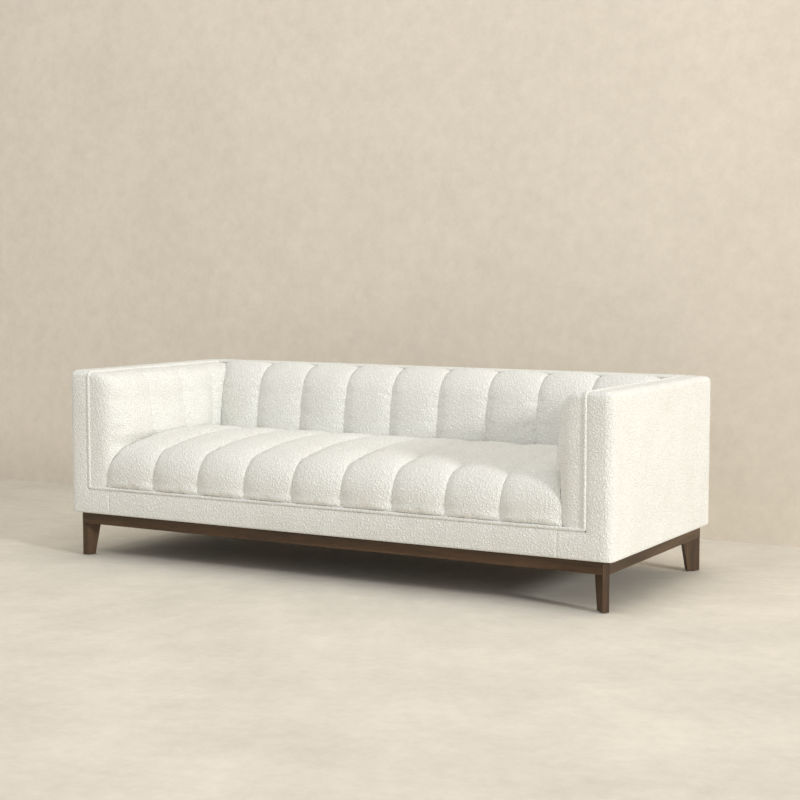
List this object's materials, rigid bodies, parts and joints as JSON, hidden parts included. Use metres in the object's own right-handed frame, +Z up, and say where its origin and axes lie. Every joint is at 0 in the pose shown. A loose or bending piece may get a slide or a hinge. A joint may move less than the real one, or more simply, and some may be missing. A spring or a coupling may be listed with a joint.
{
  "type": "sofa",
  "caption": "Tuxedo sofa with level arms and back, a channel-tufted seat, back and arms inside a plain welted border, on a low wooden base with tapered corner legs",
  "frame": {"origin": "on the floor under the middle of the sofa, halfway between the outsides of the arms and halfway between the front and the back", "axes": "+X to the viewer's right, along the sofa; +Y from the front to the back; +Z up"},
  "size_m": [2.235, 0.93, 0.7128],
  "materials": {
    "boucle": "off-white looped boucle",
    "walnut": "dark walnut, satin",
    "hardwood": "kiln-dried hardwood, unfinished",
    "foam": "cut foam under fibre wadding",
    "webbing": "woven jute webbing",
    "lining": "plain woven lining and felt",
    "steel": "zinc-plated",
    "nylon": "moulded"
  },
  "bodies": {
    "root": {"apron_front": "walnut", "apron_left": "walnut", "apron_rear": "walnut", "apron_right": "walnut", "arm_bottom_rail_left": "hardwood", "arm_bottom_rail_right": "hardwood", "arm_foam_left": "foam", "arm_foam_right": "foam", "arm_front_post_left": "hardwood", "arm_front_post_right": "hardwood", "arm_inner_cover_left": "boucle", "arm_inner_cover_right": "boucle", "arm_inner_panel_left": "hardwood", "arm_inner_panel_right": "hardwood", "arm_outer_cover_left": "boucle", "arm_outer_cover_right": "boucle", "arm_stile_left": "hardwood", "arm_stile_right": "hardwood", "arm_top_rail_left": "hardwood", "arm_top_rail_right": "hardwood", "back_bottom_rail": "hardwood", "back_cloth": "lining", "back_cover": "boucle", "back_foam": "foam", "back_tack_rail": "hardwood", "back_top_rail": "hardwood", "back_upright_left": "hardwood", "back_upright_right": "hardwood", "back_webbing": "webbing", "base_bolts": "steel", "base_stretcher_left": "hardwood", "base_stretcher_right": "hardwood", "corner_blocks": "hardwood", "cross_brace_left": "hardwood", "cross_brace_right": "hardwood", "deck_felt": "lining", "dust_cover": "lining", "front_rail_cover": "boucle", "front_seat_rail": "hardwood", "glides": "nylon", "leg_front_left": "walnut", "leg_front_right": "walnut", "leg_glue_blocks": "hardwood", "leg_rear_left": "walnut", "leg_rear_right": "walnut", "outside_back_cover": "boucle", "rear_corner_post_left": "hardwood", "rear_corner_post_right": "hardwood", "rear_seat_rail": "hardwood", "seat_cover": "boucle", "seat_cross_webbing": "webbing", "seat_foam": "foam", "seat_webbing": "webbing", "side_seat_rail_left": "hardwood", "side_seat_rail_right": "hardwood", "welt_cord": "boucle"}
  },
  "joints": []
}
